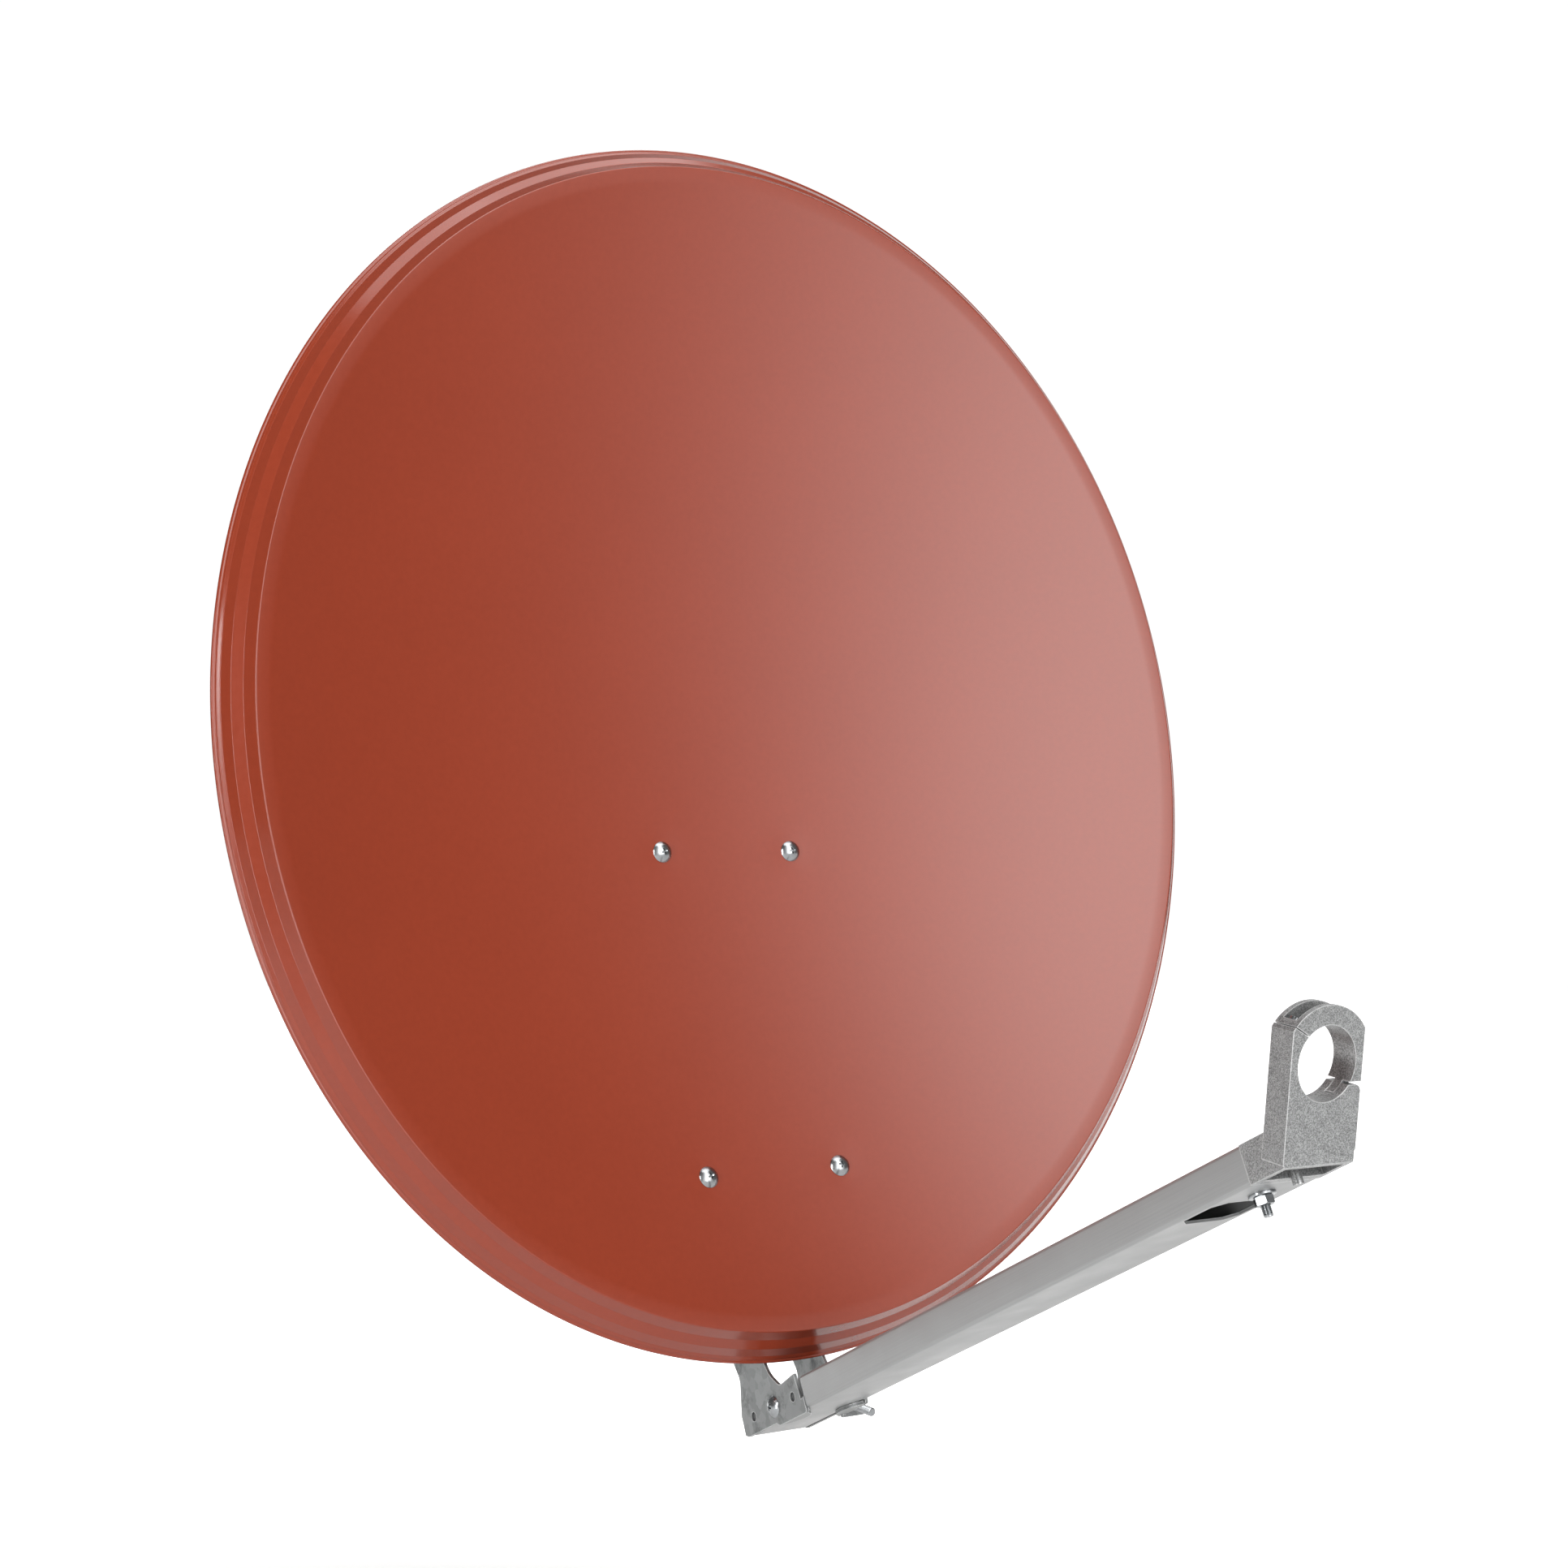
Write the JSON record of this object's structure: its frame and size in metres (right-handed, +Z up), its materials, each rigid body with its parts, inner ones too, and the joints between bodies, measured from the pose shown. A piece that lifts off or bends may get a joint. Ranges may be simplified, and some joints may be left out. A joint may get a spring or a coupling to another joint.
{
  "type": "satellite dish",
  "caption": "Offset satellite dish with a pressed steel reflector, folding feed arm, split feed clamp and tilting mast clamp.",
  "frame": {"origin": "centre of the mast clamp, on the mast's axis", "axes": "+Z up along the mast, -Y the way the dish looks, +X to the right seen from in front"},
  "size_m": [0.8008, 0.8067, 0.9378],
  "materials": {
    "dish_paint": "satin brick-red powder coat on pressed steel",
    "galvanised_steel": "galvanised sheet, slightly mottled",
    "arm_steel": "drawn tube with fine lengthwise lines, zinc plated",
    "cast_metal": "shot-blasted die casting with bright edges",
    "zinc_hardware": "bright zinc plated fasteners"
  },
  "bodies": {
    "mast_bracket": {"tilt_bracket": "galvanised_steel", "clamp_bolts": "zinc_hardware", "pivot_bolt": "zinc_hardware", "pivot_washers": "zinc_hardware", "pivot_nut": "zinc_hardware"},
    "mast_jaw": {"mast_jaw": "galvanised_steel", "clamp_washers": "zinc_hardware", "clamp_nuts": "zinc_hardware"},
    "dish": {"reflector": "dish_paint", "left_rail": "galvanised_steel", "right_rail": "galvanised_steel", "rail_brace": "galvanised_steel", "pivot_spacer": "galvanised_steel", "face_bolts": "zinc_hardware", "face_washers": "zinc_hardware", "face_nuts": "zinc_hardware", "lock_bolts": "zinc_hardware", "lock_washers": "zinc_hardware", "lock_nuts": "zinc_hardware", "arm_bolt": "zinc_hardware", "arm_washer": "zinc_hardware", "arm_nut": "zinc_hardware", "earth_stud": "zinc_hardware"},
    "feed_arm": {"feed_arm": "arm_steel", "feed_holder": "cast_metal", "holder_bolt": "zinc_hardware", "holder_washer": "zinc_hardware", "holder_nut": "zinc_hardware"},
    "feed_lid": {"feed_lid": "cast_metal", "lid_screw": "zinc_hardware"}
  },
  "joints": [
    {"name": "jaw_slide", "type": "slide", "parent": "mast_bracket", "child": "mast_jaw", "axis": [0, 1, 0], "range_m": [0, 0.012]},
    {"name": "elevation", "type": "hinge", "parent": "mast_bracket", "child": "dish", "pos_m": [0, -0.092, 0.037], "axis": [-1, 0, 0], "range_deg": [-18, 18]},
    {"name": "arm_fold", "type": "hinge", "parent": "dish", "child": "feed_arm", "pos_m": [0, -0.25437, -0.30699], "axis": [-1, 0, 0], "range_deg": [0, 38]},
    {"name": "lid_lift", "type": "slide", "parent": "feed_arm", "child": "feed_lid", "axis": [0.4772, -0.1024, 0.8728], "range_m": [0, 0.014]}
  ]
}
